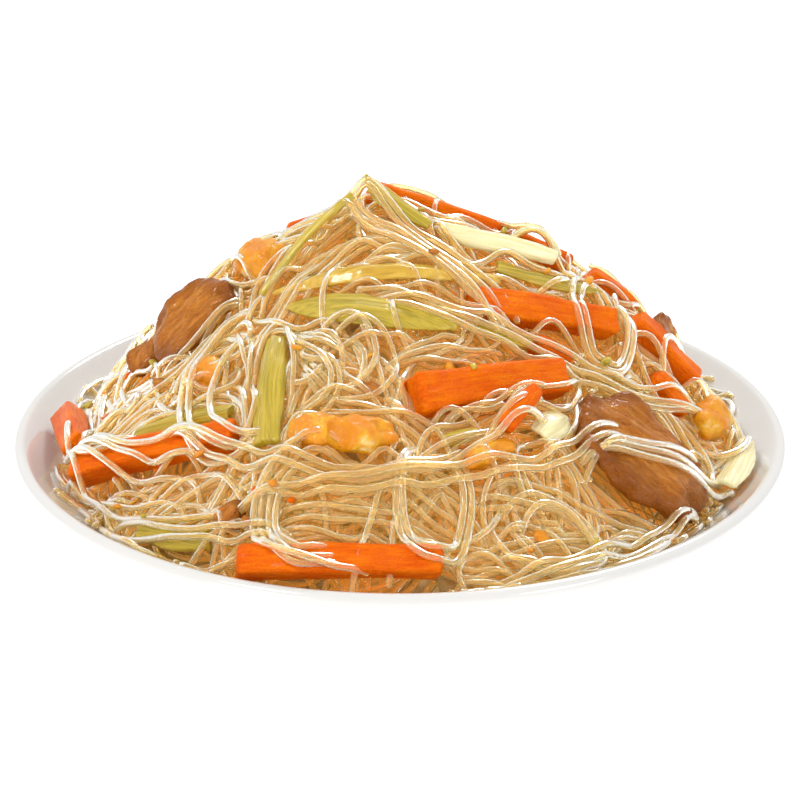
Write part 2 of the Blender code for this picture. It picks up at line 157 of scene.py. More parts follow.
class Recipe:
    """A Principled material and the few kinds of node that the recipes below put in front of it."""

    def __init__(self, name, **sockets):
        self.material = bpy.data.materials.new(name)
        self.material.use_nodes = True
        self.tree = self.material.node_tree
        self.shader = self.tree.nodes["Principled BSDF"]
        for socket, value in sockets.items():
            self.shader.inputs[socket.replace("_", " ")].default_value = value

    def node(self, kind, **settings):
        made = self.tree.nodes.new(kind)
        for key, value in settings.items():
            setattr(made, key, value)
        return made

    def feed(self, socket, value):
        if isinstance(value, bpy.types.NodeSocket):
            self.tree.links.new(value, socket)
        else:
            socket.default_value = value
        return socket

    def attribute(self, name, output="Fac"):
        return self.node("ShaderNodeAttribute", attribute_name=name).outputs[output]

    def position(self):
        return self.node("ShaderNodeTexCoord").outputs["Object"]

    def stretched(self, vector, scale):
        made = self.node("ShaderNodeMapping")
        self.feed(made.inputs["Vector"], vector)
        made.inputs["Scale"].default_value = scale
        return made.outputs["Vector"]

    def noise(self, vector, scale, detail=3.0, roughness=0.5, distortion=0.0):
        made = self.node("ShaderNodeTexNoise")
        self.feed(made.inputs["Vector"], vector)
        made.inputs["Scale"].default_value = scale
        made.inputs["Detail"].default_value = detail
        made.inputs["Roughness"].default_value = roughness
        made.inputs["Distortion"].default_value = distortion
        return made.outputs["Fac"]

    def ramp(self, factor, *stops):
        made = self.node("ShaderNodeValToRGB")
        self.feed(made.inputs["Fac"], factor)
        marks = made.color_ramp.elements
        while len(marks) < len(stops):
            marks.new(0.5)
        for mark, (place, colour) in zip(marks, stops):
            mark.position = place
            mark.color = (*colour, 1.0) if len(colour) == 3 else colour
        return made.outputs["Color"]

    def math(self, operation, first, second=0.0, clamp=False):
        made = self.node("ShaderNodeMath", operation=operation, use_clamp=clamp)
        self.feed(made.inputs[0], first)
        self.feed(made.inputs[1], second)
        return made.outputs["Value"]

    def mix(self, factor, first, second, blend="MIX"):
        made = self.node("ShaderNodeMix", data_type="RGBA", blend_type=blend)
        self.feed(made.inputs["Factor"], factor)
        self.feed(made.inputs[6], first)
        self.feed(made.inputs[7], second)
        return made.outputs[2]

    def bump(self, *layers):
        """Layers of (height, depth in metres), each worked on top of the last."""
        normal = None
        for height, depth in layers:
            made = self.node("ShaderNodeBump")
            made.inputs["Distance"].default_value = depth
            self.feed(made.inputs["Height"], height)
            if normal:
                self.feed(made.inputs["Normal"], normal)
            normal = made.outputs["Normal"]
        self.feed(self.shader.inputs["Normal"], normal)

    def colour(self, value):
        self.feed(self.shader.inputs["Base Color"], value)


def noodle_material():
    """Clear, oily rice noodle, pale where it lies open and darker amber deeper in the heap, as painted shade
    partly from sauce, with a painted glow.
    """
    recipe = Recipe(
        "rice noodle",
        Roughness=0.15,
        IOR=1.34,
        Transmission_Weight=0.87,
        Subsurface_Weight=0.6,
        Subsurface_Radius=(1.0, 0.80, 0.50),
        Subsurface_Scale=0.0014,
        Coat_Weight=0.2,
        Coat_Roughness=0.07,
    )
    depth = recipe.attribute("depth")
    tint = recipe.attribute("tint")
    pools = recipe.noise(recipe.position(), 70, detail=2)
    # Depth under the heap's outline, with sauce pools and each strand's tint mixed in.
    sauce_and_shade = recipe.math("ADD", depth, recipe.math("MULTIPLY", recipe.math("SUBTRACT", pools, 0.5), 0.5))
    sauce_and_shade = recipe.math("ADD", sauce_and_shade, recipe.math("MULTIPLY", tint, 0.16), clamp=True)
    # Painted shade, partly sauce: deeper strands go from pale cream to darker amber.
    recipe.colour(
        recipe.ramp(
            sauce_and_shade,
            (0.0, (1.0, 0.82, 0.43)),
            (0.30, (1.0, 0.74, 0.34)),
            (0.60, (1.0, 0.60, 0.18)),
            (1.0, (0.96, 0.49, 0.09)),
        )
    )
    # Painted glow: an amber emission that stands in for light scattered through the strands, stronger deeper
    # in the heap.
    painted_glow = recipe.ramp(
        sauce_and_shade, (0.0, (0.09, 0.062, 0.018)), (0.5, (0.22, 0.145, 0.034)), (1.0, (0.36, 0.22, 0.045))
    )
    recipe.feed(recipe.shader.inputs["Emission Color"], painted_glow)
    recipe.shader.inputs["Emission Strength"].default_value = 0.24
    recipe.bump((recipe.noise(recipe.position(), 900, detail=2), 0.00012))
    return recipe.material


def core_material():
    """The inside of the heap, noodles and sauce seen through the gaps: darker amber than the strands as
    painted shade, partly sauce, with a faint painted glow.
    """
    # Painted glow: a faint amber emission that lifts the gaps.
    recipe = Recipe(
        "noodle core", Roughness=0.35, Emission_Color=(0.30, 0.19, 0.06, 1.0), Emission_Strength=0.06
    )
    streaks = recipe.noise(recipe.position(), 320, detail=4, distortion=1.5)
    recipe.colour(recipe.ramp(streaks, (0.35, (0.50, 0.33, 0.10)), (0.65, (0.78, 0.60, 0.27))))
    recipe.bump((streaks, 0.0012))
    return recipe.material


def carrot_material():
    """Cooked carrot: bright, wet, with fine fibres along the stick and darker patches."""
    recipe = Recipe(
        "cooked carrot",
        Roughness=0.3,
        Specular_IOR_Level=0.06,
        Subsurface_Weight=0.05,
        Subsurface_Radius=(1.0, 0.35, 0.1),
        Subsurface_Scale=0.0015,
        Coat_Weight=0.04,
        Coat_Roughness=0.05,
    )
    grain = recipe.attribute("grain", "Vector")
    fibres = recipe.noise(recipe.stretched(grain, (0.12, 1.1, 1.1)), 1.0, detail=5, roughness=0.65)
    patches = recipe.noise(grain, 0.12, detail=3)
    colour = recipe.ramp(
        fibres, (0.3, (0.73, 0.10, 0.0002)), (0.55, (0.82, 0.165, 0.0004)), (0.8, (0.91, 0.25, 0.0015))
    )
    deeper = recipe.ramp(patches, (0.4, (1, 1, 1)), (0.75, (0.86, 0.60, 0.5)))
    recipe.colour(recipe.mix(1.0, colour, deeper, "MULTIPLY"))
    recipe.bump((fibres, 0.0005), (recipe.noise(grain, 1.7, detail=3), 0.0005))
    return recipe.material


def leaf_material(name, pale, mid, dark, clear=0.25, glassy=0.0):
    """Ribbed stalk or leaf, striped along its length."""
    recipe = Recipe(
        name,
        Transmission_Weight=glassy,
        Roughness=0.2,
        Specular_IOR_Level=0.35,
        Subsurface_Weight=clear,
        Subsurface_Radius=(0.8, 0.9, 0.2),
        Subsurface_Scale=0.0015,
        Coat_Weight=0.55,
        Coat_Roughness=0.07,
    )
    grain = recipe.attribute("grain", "Vector")
    ribs = recipe.noise(recipe.stretched(grain, (0.035, 1.5, 0.5)), 1.0, detail=4, roughness=0.6)
    patches = recipe.noise(recipe.stretched(grain, (0.09, 0.2, 0.2)), 1.0, detail=2)
    striped = recipe.ramp(ribs, (0.34, dark), (0.5, mid), (0.66, pale))
    recipe.colour(recipe.mix(recipe.math("MULTIPLY", patches, 0.7), striped, (*mid, 1.0)))
    recipe.bump((ribs, 0.0007))
    return recipe.material


def egg_material():
    """Fried egg scraps: golden yolk with cream whites and a few browned spots."""
    recipe = Recipe(
        "scrambled egg",
        Roughness=0.3,
        Specular_IOR_Level=0.3,
        Subsurface_Weight=0.2,
        Subsurface_Radius=(1.0, 0.6, 0.15),
        Subsurface_Scale=0.002,
        Coat_Weight=0.2,
        Coat_Roughness=0.06,
    )
    grain = recipe.attribute("grain", "Vector")
    whites = recipe.noise(grain, 0.17, detail=3, roughness=0.6, distortion=0.6)
    browned = recipe.noise(grain, 0.35, detail=3, roughness=0.7)
    yolk = recipe.ramp(
        whites, (0.44, (0.70, 0.235, 0.001)), (0.60, (0.77, 0.36, 0.006)), (0.70, (0.88, 0.63, 0.25))
    )
    spots = recipe.ramp(browned, (0.60, (0, 0, 0)), (0.72, (1, 1, 1)))
    recipe.colour(recipe.mix(recipe.math("MULTIPLY", spots, 0.55), yolk, (0.50, 0.20, 0.02, 1.0)))
    recipe.bump((recipe.noise(grain, 0.9, detail=4, roughness=0.65), 0.0007))
    return recipe.material


def pork_material():
    """Glazed roast pork: brown meat with pale fibres, darker round the slice's edge."""
    recipe = Recipe(
        "roast pork",
        Roughness=0.26,
        Specular_IOR_Level=0.08,
        Subsurface_Weight=0.1,
        Subsurface_Radius=(1.0, 0.3, 0.1),
        Subsurface_Scale=0.002,
        Coat_Weight=0.26,
        Coat_Roughness=0.09,
    )
    grain = recipe.attribute("grain", "Vector")
    rim = recipe.attribute("rim")
    along_fibres = recipe.stretched(grain, (0.25, 1.0, 0.6))
    fibres = recipe.noise(along_fibres, 0.7, detail=5, roughness=0.65, distortion=0.4)
    patches = recipe.noise(grain, 0.16, detail=4)
    meat = recipe.ramp(
        fibres, (0.28, (0.23, 0.05, 0.003)), (0.50, (0.47, 0.145, 0.010)), (0.72, (0.68, 0.30, 0.06))
    )
    meat = recipe.mix(recipe.math("MULTIPLY", patches, 0.5), meat, (0.52, 0.185, 0.02, 1.0))
    edge = recipe.math("MULTIPLY", recipe.math("SUBTRACT", rim, 0.55), 2.2, clamp=True)
    recipe.colour(recipe.mix(edge, meat, (0.26, 0.07, 0.005, 1.0)))
    recipe.bump((fibres, 0.0014), (recipe.noise(grain, 1.6, detail=3), 0.0005))
    return recipe.material


def glaze_material():
    """White opal glaze."""
    recipe = Recipe("white glaze", Roughness=0.12, Coat_Weight=0.5, Coat_Roughness=0.04)
    clouds = recipe.noise(recipe.position(), 30, detail=2)
    recipe.colour(recipe.ramp(clouds, (0.3, (0.62, 0.61, 0.59)), (0.7, (0.64, 0.63, 0.61))))
    recipe.bump((clouds, 0.0001))
    return recipe.material


def floor_material():
    recipe = Recipe("pale floor", Roughness=0.6, Emission_Color=(1.0, 1.0, 1.0, 1.0), Emission_Strength=0.45)
    clouds = recipe.noise(recipe.position(), 4, detail=2)
    recipe.colour(recipe.ramp(clouds, (0.3, (0.93, 0.93, 0.93)), (0.7, (0.95, 0.95, 0.95))))
    return recipe.material


# ---------- meshes ----------


def new_piece(name, mesh, material, replaced=()):
    piece = bpy.data.objects.new(name, mesh)
    bpy.context.scene.collection.objects.link(piece)
    mesh.materials.append(material)
    mesh.shade_smooth()
    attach(piece, "root")
    if replaced:
        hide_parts(*replaced)
    return piece


def mesh_from_arrays(name, corners, quads, triangles, numbers=None):
    """A mesh from arrays of corners in millimetres, faces, and named numbers for each corner."""
    mesh = bpy.data.meshes.new(name)
    mesh.vertices.add(len(corners))
    mesh.vertices.foreach_set("co", (corners * MM).astype(np.float32).ravel())
    loops = np.concatenate([quads.ravel(), triangles.ravel()])
    mesh.loops.add(len(loops))
    mesh.loops.foreach_set("vertex_index", loops.astype(np.int32))
    sizes = np.concatenate([np.full(len(quads), 4), np.full(len(triangles), 3)])
    mesh.polygons.add(len(sizes))
    mesh.polygons.foreach_set("loop_start", (np.cumsum(sizes) - sizes).astype(np.int32))
    for key, values in (numbers or {}).items():
        layer = mesh.attributes.new(key, "FLOAT", "POINT")
        layer.data.foreach_set("value", values.astype(np.float32))
    mesh.update(calc_edges=True)
    mesh.validate()
    return mesh


# ---------- the relief that strands are laid on ----------


AXIS = -REACH + CELL * (np.arange(round(2 * REACH / CELL)) + 0.5)
CELLS = len(AXIS)


def cells_of(values):
    return np.clip(((values + REACH) / CELL).astype(int), 3, CELLS - 4)


def top_of(node):
    """The height of a CAD node's upper side in every cell, or NOWHERE."""
    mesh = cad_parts[node].data
    mesh.calc_loop_triangles()
    places = np.array([v.co for v in mesh.vertices]) / MM
    top = np.full((CELLS, CELLS), NOWHERE)
    for triangle in mesh.loop_triangles:
        a, b, c = places[list(triangle.vertices)]
        area = (b[1] - c[1]) * (a[0] - c[0]) + (c[0] - b[0]) * (a[1] - c[1])
        if abs(area) < 1e-9:
            continue
        first = cells_of(np.minimum(np.minimum(a, b), c)[:2])
        last = cells_of(np.maximum(np.maximum(a, b), c)[:2]) + 1
        xs = AXIS[first[0] : last[0], None]
        ys = AXIS[None, first[1] : last[1]]
        share_a = ((b[1] - c[1]) * (xs - c[0]) + (c[0] - b[0]) * (ys - c[1])) / area
        share_b = ((c[1] - a[1]) * (xs - c[0]) + (a[0] - c[0]) * (ys - c[1])) / area
        share_c = 1 - share_a - share_b
        inside = (share_a >= -1e-6) & (share_b >= -1e-6) & (share_c >= -1e-6)
        height = share_a * a[2] + share_b * b[2] + share_c * c[2]
        window = top[first[0] : last[0], first[1] : last[1]]
        window[inside] = np.maximum(window, height)[inside]
    return top


def block_means(grid):
    count = CELLS // BLOCK
    return grid.reshape(count, BLOCK, count, BLOCK).mean(axis=(1, 3))


class Relief:
    """The heap as it grows: the height of what lies in each cell, and how high it should come."""

    def __init__(self):
        heap = top_of("noodles")
        self.plate = top_of("plate")
        self.on_heap = heap > self.plate + 0.4
        self.heap = np.maximum(heap, self.plate)
        self.core = np.where(self.on_heap, np.maximum(heap - HEAP_SKIN, self.plate), self.plate)
        self.top = self.core.copy()
        self.goal = np.where(self.on_heap, heap, self.plate)
        self.shy = np.where(self.on_heap, 0.0, 1.5)
        self.topped = np.zeros((CELLS, CELLS), bool)
        spans = np.hypot(AXIS[:, None], AXIS[None, :])
        self.shy[spans > 93] = 30.0
        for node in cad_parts:
            if node in ("noodles", "plate"):
                continue
            top = top_of(node)
            covered = top > NOWHERE
            self.top = np.maximum(self.top, top)
            self.goal = np.maximum(self.goal, top)
            shyness = 1.0 if node in HALF_BURIED else SHYNESS[node.split("_")[0]]
            self.shy[covered] = np.maximum(self.shy[covered], shyness)
            self.topped |= covered
        self.ceiling = self.goal.copy()
        for reach in (1, 2, 4):
            for axis in (0, 1):
                for way in (-reach, reach):
                    beside = np.where(self.topped, np.roll(self.ceiling, way, axis), NOWHERE)
                    self.ceiling = np.maximum(self.ceiling, np.roll(beside, way, axis))
        offsets = np.arange(-3, 4)
        dx, dy = [d.ravel() for d in np.meshgrid(offsets, offsets, indexing="ij")]
        near = np.hypot(dx, dy) * CELL < STRAND_RADIUS
        self.dx, self.dy = dx[near], dy[near]
        self.lift = np.sqrt(STRAND_RADIUS**2 - (self.dx**2 + self.dy**2) * CELL**2)

    def room(self):
        return self.goal - self.top - self.shy

    def resting(self, path):
        """How high a strand's middle lies at each (x, y), touching what is under it."""
        x, y = cells_of(path[:, 0]), cells_of(path[:, 1])
        return (self.top[x[:, None] + self.dx, y[:, None] + self.dy] + self.lift).max(axis=1)

    def standing_out(self, points):
        """How far a strand's upper side stands above where the heap should end."""
        x, y = cells_of(points[:, 0]), cells_of(points[:, 1])
        return points[:, 2] + STRAND_RADIUS - self.ceiling[x, y]

    def over_toppings(self, points):
        return self.topped[cells_of(points[:, 0]), cells_of(points[:, 1])].mean()

    def kept_off_plate(self, points):
        floor = self.plate[cells_of(points[:, 0]), cells_of(points[:, 1])] + STRAND_RADIUS
        points[:, 2] = np.maximum(points[:, 2], floor)
        return points

    def add(self, points):
        """Puts a strand on the relief."""
        finer = 4
        places = np.linspace(0, len(points) - 1, finer * (len(points) - 1) + 1)
        x, y, z = [np.interp(places, np.arange(len(points)), points[:, k]) for k in range(3)]
        columns, rows = cells_of(x)[:, None] + self.dx, cells_of(y)[:, None] + self.dy
        np.maximum.at(self.top, (columns, rows), z[:, None] + self.lift)


# ---------- strands ----------


def wander(rng, room, start, heading, curve, style, length):
    """A path in steps of STRAND_STEP that drifts, and turns towards the side with more room."""
    restless, bend = style
    memory = 15.0
    heed = 0.012 if bend else 0.028
    x, y = start
    path = []
    drift = curve
    for _ in range(int(length / STRAND_STEP)):
        sides = []
        for angle in (0.55, 0.0, -0.55):
            total = 0.0
            for ahead in (3.0, 7.5):
                column = int((x + ahead * math.cos(heading + angle) + REACH) / CELL)
                row = int((y + ahead * math.sin(heading + angle) + REACH) / CELL)
                total += room[min(max(column, 0), CELLS - 1), min(max(row, 0), CELLS - 1)] / 2
            sides.append(total)
        left, middle, right = sides
        if middle < -2.5 and max(left, right) < -2.0 and len(path) > 8:
            break
        pull = heed * max(-4.0, min(4.0, left - right))
        if middle < min(left, right) - 1.0 and not bend:
            pull += 0.06 if left > right else -0.06
        drift += -drift * STRAND_STEP / memory + restless * math.sqrt(2 * STRAND_STEP / memory) * rng.normal()
        heading += STRAND_STEP * max(-0.2, min(0.2, drift + bend + pull))
        x += STRAND_STEP * math.cos(heading)
        y += STRAND_STEP * math.sin(heading)
        path.append((x, y))
    return path


def smoothed(values, span):
    """A running mean with soft shoulders, the ends held."""
    reach = max(1, round(1.5 * span / STRAND_STEP))
    weights = np.exp(-0.5 * (np.arange(-reach, reach + 1) * STRAND_STEP / span * 1.4) ** 2)
    return np.convolve(np.pad(values, reach, mode="edge"), weights / weights.sum(), mode="valid")


def draped(relief, path):
    """The path as a strand on the relief: it bridges hollows and presses a little into what it crosses."""
    path = np.column_stack([smoothed(path[:, 0], 2.2), smoothed(path[:, 1], 2.2)])
    rest = relief.resting(path)
    points = np.column_stack([path, np.maximum(smoothed(rest, SAG_SPAN), rest - PRESSED)])
    points[:, 2] = smoothed(points[:, 2], 2.6)
    return points


def laid(relief, path, dives):
    """The path as a strand lying on the relief, or None where it would stand out too far."""
    points = draped(relief, path)
    fits = (relief.standing_out(points) < PROUD) & (np.hypot(points[:, 0], points[:, 1]) < FOOD_REACH)
    best, first = (0, 0), None
    for index, good in enumerate(np.append(fits, False)):
        if good and first is None:
            first = index
        if not good and first is not None:
            best = max(best, (index - first, first))
            first = None
    count, first = best
    points = points[first : first + count]
    clear = np.nonzero(~relief.topped[cells_of(points[:, 0]), cells_of(points[:, 1])])[0]
    if len(clear) == 0:
        return None
    points = points[clear[0] : clear[-1] + 1]
    count = len(points)
    if count * STRAND_STEP < SHORTEST or relief.over_toppings(points) > OVER_TOPPINGS:
        return None
    along = np.arange(count) * STRAND_STEP
    for dives_here, distance in zip(dives, (along, along[::-1])):
        if dives_here:
            points[:, 2] -= END_DIVE * np.clip(1 - distance / END_DIVE_LENGTH, 0, 1) ** 2
    return relief.kept_off_plate(points)


def sunken(relief, path, depth, sway):
    """The path as a strand at this depth under the heap's outline."""
    x, y = cells_of(path[:, 0]), cells_of(path[:, 1])
    height = smoothed(relief.heap[x, y], 3.0) - depth
    height += 0.7 * np.sin(np.arange(len(path)) * STRAND_STEP / 6.0 + sway)
    return relief.kept_off_plate(np.column_stack([path, height]))


def beside(path, offset, rng):
    """A path that keeps beside another one, drifting a little nearer and further."""
    ahead = np.gradient(path, axis=0)
    ahead /= np.linalg.norm(ahead, axis=1)[:, None]
    normal = np.column_stack([-ahead[:, 1], ahead[:, 0]])
    places = np.linspace(0, 1, len(path))
    sway = rng.uniform(0, 2 * math.pi)
    splay = rng.normal() * 2.2
    shift = offset * (1 + 0.15 * np.sin(2.5 * places * math.pi + sway)) + splay * (2 * places - 1) ** 3
    return path + normal * shift[:, None]


def routes(rng, room, hollows, longest=HALF_LENGTHS[1]):
    """One path through the lowest part of the heap, or a lock of paths that run side by side."""
    weights = hollows.ravel() ** 2
    block = rng.choice(hollows.size, p=weights / weights.sum())
    start = (np.array(divmod(block, len(hollows))) * BLOCK + rng.uniform(0, BLOCK, 2)) * CELL - REACH
    curly = rng.random() < CURLY
    restless, bend = (0.022, rng.choice((-1, 1)) * rng.uniform(0.045, 0.125)) if curly else (0.04, 0.0)
    heading, drift = rng.uniform(0, 2 * math.pi), rng.normal() * restless
    length = min(longest, rng.uniform(*HALF_LENGTHS))
    onward = wander(rng, room, start, heading, drift, (restless, bend), length)
    backward = wander(rng, room, start, heading + math.pi, -drift, (restless, -bend), length)
    path = np.array(backward[::-1] + [tuple(start)] + onward)
    if len(path) * STRAND_STEP < SHORTEST:
        return []
    mates = rng.integers(0, 3) if curly else rng.integers(0, 5)
    side = rng.choice((-1, 1)) * SIDE_GAP
    return [path] + [beside(path, side * (k + 1), rng) for k in range(mates)]


def lay_carpet(relief, rng, depth):
    """A bed of sunken strands, close enough together to hide most of what is under it."""
    strands = []
    open_heap = relief.on_heap & ~relief.topped
    for _ in range(TRIES):
        bare = open_heap & (relief.top < relief.heap - depth)
        if bare.sum() < (1 - CARPET_COVER) * open_heap.sum():
            break
        room = np.where(bare, 1.5, -0.5) - np.where(relief.topped, 0.0, relief.shy)
        for path in routes(rng, room, block_means(bare), 60.0):
            off = np.nonzero(np.hypot(path[:, 0], path[:, 1]) > FOOD_REACH - 3)[0]
            path = path[: off[0]] if len(off) else path
            if len(path) < 6:
                continue
            points = sunken(relief, path, depth, rng.uniform(0, 2 * math.pi))
            relief.add(points)
            strands.append(points)
    return strands


def cover_edge(relief, rng):
    """Strands along the heap's thin edge, where the plate would show."""
    strands = []
    edge = relief.on_heap & ~relief.topped & (relief.heap < relief.plate + HEAP_SKIN)
    for _ in range(TRIES):
        bare = edge & (relief.top < relief.plate + 0.8)
        if bare.sum() < (1 - EDGE_COVER) * edge.sum():
            break
        room = np.where(bare, 2.0, np.where(relief.on_heap, 0.0, -3.0)) - relief.shy
        for path in routes(rng, room, block_means(bare)):
            points = laid(relief, path, (True, True))
            if points is not None:
                relief.add(points)
                strands.append(points)
    return strands


def fill_heap(relief, rng):
    """Lays strand after strand, each begun where the heap is lowest, until the heap is full."""
    strands = []
    room = None
    for _ in range(TRIES):
        if room is None:
            room = relief.room()
            hollows = block_means(np.where(relief.on_heap, np.clip(room, 0, None), 0.0))
            if hollows.sum() * BLOCK**2 < FULL_ENOUGH * relief.on_heap.sum():
                break
        for path in routes(rng, room, hollows):
            points = laid(relief, path, rng.random(2) < 0.9)
            if points is not None:
                relief.add(points)
                strands.append(points)
                room = None
    return strands


def through(stops):
    """A smooth path through the given places, in steps of STRAND_STEP."""
    padded = np.vstack([2 * stops[0] - stops[1], stops, 2 * stops[-1] - stops[-2]])
    path = []
    for before, here, there, after in zip(padded, padded[1:], padded[2:], padded[3:]):
        for share in np.linspace(0, 1, 12, endpoint=False):
            path.append(
                0.5
                * (
                    2 * here
                    + (there - before) * share
                    + (2 * before - 5 * here + 4 * there - after) * share**2
                    + (3 * here - before - 3 * there + after) * share**3
                )
            )
    path = np.array([*path, stops[-1]])
    along = np.append(0, np.cumsum(np.linalg.norm(np.diff(path, axis=0), axis=1)))
    even = np.arange(0, along[-1], STRAND_STEP)
    return np.column_stack([np.interp(even, along, path[:, k]) for k in range(2)])


def middle_of(node):
    """Where a piece's middle lies over the plate, in millimetres."""
    low, high = (np.array(corner[:2]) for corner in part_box(node))
    return TO_MILLIMETRES * (low + high) / 2


def shown_ways(rng):
    """For each group of strands that stand out, how many there are and the places that they pass."""
    for mates, node, offset, radii, start, turn in LOOPS:
        angles = np.radians(start + turn * np.linspace(0, 1, 2 + turn // LOOP_STEP))
        swell = 1 + LOOP_SWELL * rng.uniform(-1, 1, len(angles))
        ring = np.column_stack([np.cos(angles), np.sin(angles)]) * radii * swell[:, None]
        yield mates, middle_of(node) + offset + ring
    for mates, first, last, bow in SWEEPS:
        start, end = middle_of(first), middle_of(last)
        aside = np.array([start[1] - end[1], end[0] - start[0]]) / np.linalg.norm(end - start)
        share = np.linspace(0, 1, ARC_STOPS)[:, None]
        yield mates, start + (end - start) * share + aside * bow * 4 * share * (1 - share)
    for mates, start, end in EDGE_ARCS:
        distance, angle = np.linspace(start, end, ARC_STOPS).T
        angle = np.radians(angle)
        yield mates, np.column_stack([distance * np.cos(angle), distance * np.sin(angle)])


def lay_shown(relief, rng):
    """The strands that stand out, laid last, each with its mates beside it."""
    strands = []
    for mates, stops in shown_ways(rng):
        path = through(stops)
        for mate in range(mates):
            shifted = beside(path, SIDE_GAP * mate, rng) if mate else path
            shifted = shifted * np.minimum(1, FOOD_REACH / np.hypot(shifted[:, 0], shifted[:, 1]))[:, None]
            points = draped(relief, shifted)
            along = np.arange(len(points)) * STRAND_STEP
            for distance in (along, along[::-1]):
                points[:, 2] -= END_DIVE * np.clip(1 - distance / END_DIVE_LENGTH, 0, 1) ** 2
            points = relief.kept_off_plate(points)
            relief.add(points)
            strands.append(points)
    return strands


def tube(points, radius, sides):
    """Corners, quads and end triangles of a round strand with rounded ends."""
    ahead = np.gradient(points, axis=0)
    ahead /= np.linalg.norm(ahead, axis=1)[:, None]
    first, last = ahead[0] * radius, ahead[-1] * radius
    spine = np.vstack([points[:1] - first * 0.45, points, points[-1:] + last * 0.45])
    ahead = np.vstack([ahead[:1], ahead, ahead[-1:]])
    widths = np.full(len(spine), radius)
    widths[[0, -1]] *= 0.72
    side = np.cross(ahead, (0.0, 0.0, 1.0))
    side /= np.linalg.norm(side, axis=1)[:, None] + 1e-9
    above = np.cross(side, ahead)
    turns = np.arange(sides) * 2 * math.pi / sides
    ring = np.cos(turns)[None, :, None] * side[:, None, :] + np.sin(turns)[None, :, None] * above[:, None, :]
    corners = (spine[:, None, :] + ring * widths[:, None, None]).reshape(-1, 3)
    tips = np.array([spine[0] - first * 0.35, spine[-1] + last * 0.35])
    rings = np.arange(len(spine) - 1)[:, None] * sides
    here = np.arange(sides)[None, :]
    onward = (here + 1) % sides
    quads = np.stack([rings + here, rings + onward, rings + sides + onward, rings + sides + here], axis=-1)
    end = len(corners)
    final = (len(spine) - 1) * sides
    here, onward = here[0], onward[0]
    caps = [np.column_stack([onward, here, np.full(sides, end)])]
    caps.append(np.column_stack([final + here, final + onward, np.full(sides, end + 1)]))
    return np.vstack([corners, tips]), quads.reshape(-1, 4), np.vstack(caps)


def strands_piece(name, strands, relief, material, replaced=()):
    corners, quads, triangles, depths, tints = [], [], [], [], []
    count = 0
    for points, radius, tint, sides in strands:
        c, q, t = tube(points, radius, sides)
        # How deep each corner lies under the heap's outline. The noodle material paints deeper strands darker
        # amber as painted shade, partly sauce, and gives them more painted glow.
        deep = relief.goal[cells_of(c[:, 0]), cells_of(c[:, 1])] - c[:, 2]
        corners.append(c)
        quads.append(q + count)
        triangles.append(t + count)
        depths.append(np.clip(deep / HEAP_SKIN, 0, 1))
        tints.append(np.full(len(c), tint))
        count += len(c)
    numbers = {"depth": np.concatenate(depths), "tint": np.concatenate(tints)}
    mesh = mesh_from_arrays(name, np.vstack(corners), np.vstack(quads), np.vstack(triangles), numbers)
    return new_piece(name, mesh, material, replaced)


def core_piece(relief, material):
    """The inside of the heap, which the strands lie on."""
    rings, segments = 60, 160
    bm = bmesh.new()
    bmesh.ops.create_uvsphere(bm, u_segments=segments, v_segments=2 * rings, radius=1.0)
    edges = []
    for k in range(segments):
        angle = 2 * math.pi * k / segments
        spans = np.arange(60.0, 98.0, 0.4)
        columns, rows = cells_of(spans * math.cos(angle)), cells_of(spans * math.sin(angle))
        edges.append(spans[relief.on_heap[columns, rows]].max(initial=60.0) - 3.0)
    for vert in bm.verts:
        angle = math.atan2(vert.co.y, vert.co.x) % (2 * math.pi)
        place = angle / (2 * math.pi) * segments
        edge = edges[int(round(place)) % segments]
        share = math.acos(min(1.0, abs(vert.co.z))) / (math.pi / 2)
        x, y = edge * share * math.cos(angle), edge * share * math.sin(angle)
        column, row = cells_of(np.array([x, y]))
        bed = relief.plate[column, row]
        height = relief.core[column, row] + 1.1 * noise.noise(Vector((x, y, 0)) / 2.2)
        vert.co = Vector((x, y, bed + 0.05 if vert.co.z < -1e-6 else max(height, bed + 0.3))) * MM
    mesh = bpy.data.meshes.new("noodle_core")
    bm.to_mesh(mesh)
    bm.free()
    return new_piece("noodle_core", mesh, material, ("noodles",))


def plate_outline():
    """The plate's outline as (radius, height) in millimetres: floor, wall, round the rim and back."""
    low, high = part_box("plate")
    reach, top = high[0] / MM, high[2] / MM
    half = PLATE_WALL / 2
    run, rise = reach - half - PLATE_FLOOR, top - half - PLATE_BED
    inner, outer = [], []
    for share in np.linspace(0, 1, 40):
        middle = np.array([PLATE_FLOOR + run * share, PLATE_BED + rise * share**PLATE_WALL_POWER])
        slope = rise / run * PLATE_WALL_POWER * share ** (PLATE_WALL_POWER - 1)
        normal = np.array([-slope, 1.0]) / math.hypot(slope, 1.0)
        inner.append(middle + normal * half)
        outer.append(middle - normal * half)
    turns = np.linspace(0, math.pi, 12)[1:-1]
    ahead = np.array([normal[1], -normal[0]])
    rim = [middle + half * (normal * math.cos(turn) + ahead * math.sin(turn)) for turn in turns]
    outer = [point for point in outer[::-1] if point[0] > PLATE_FOOT + 3]
    below = PLATE_BED - half
    ring = [(PLATE_FOOT + 1, 0.9), (PLATE_FOOT, 0.0), (PLATE_FOOT - 5, 0.0)]
    foot = [*ring, (PLATE_FOOT - 6.5, below), (0, below)]
    return [(0, PLATE_BED + half), *inner, *rim, *outer, *foot]


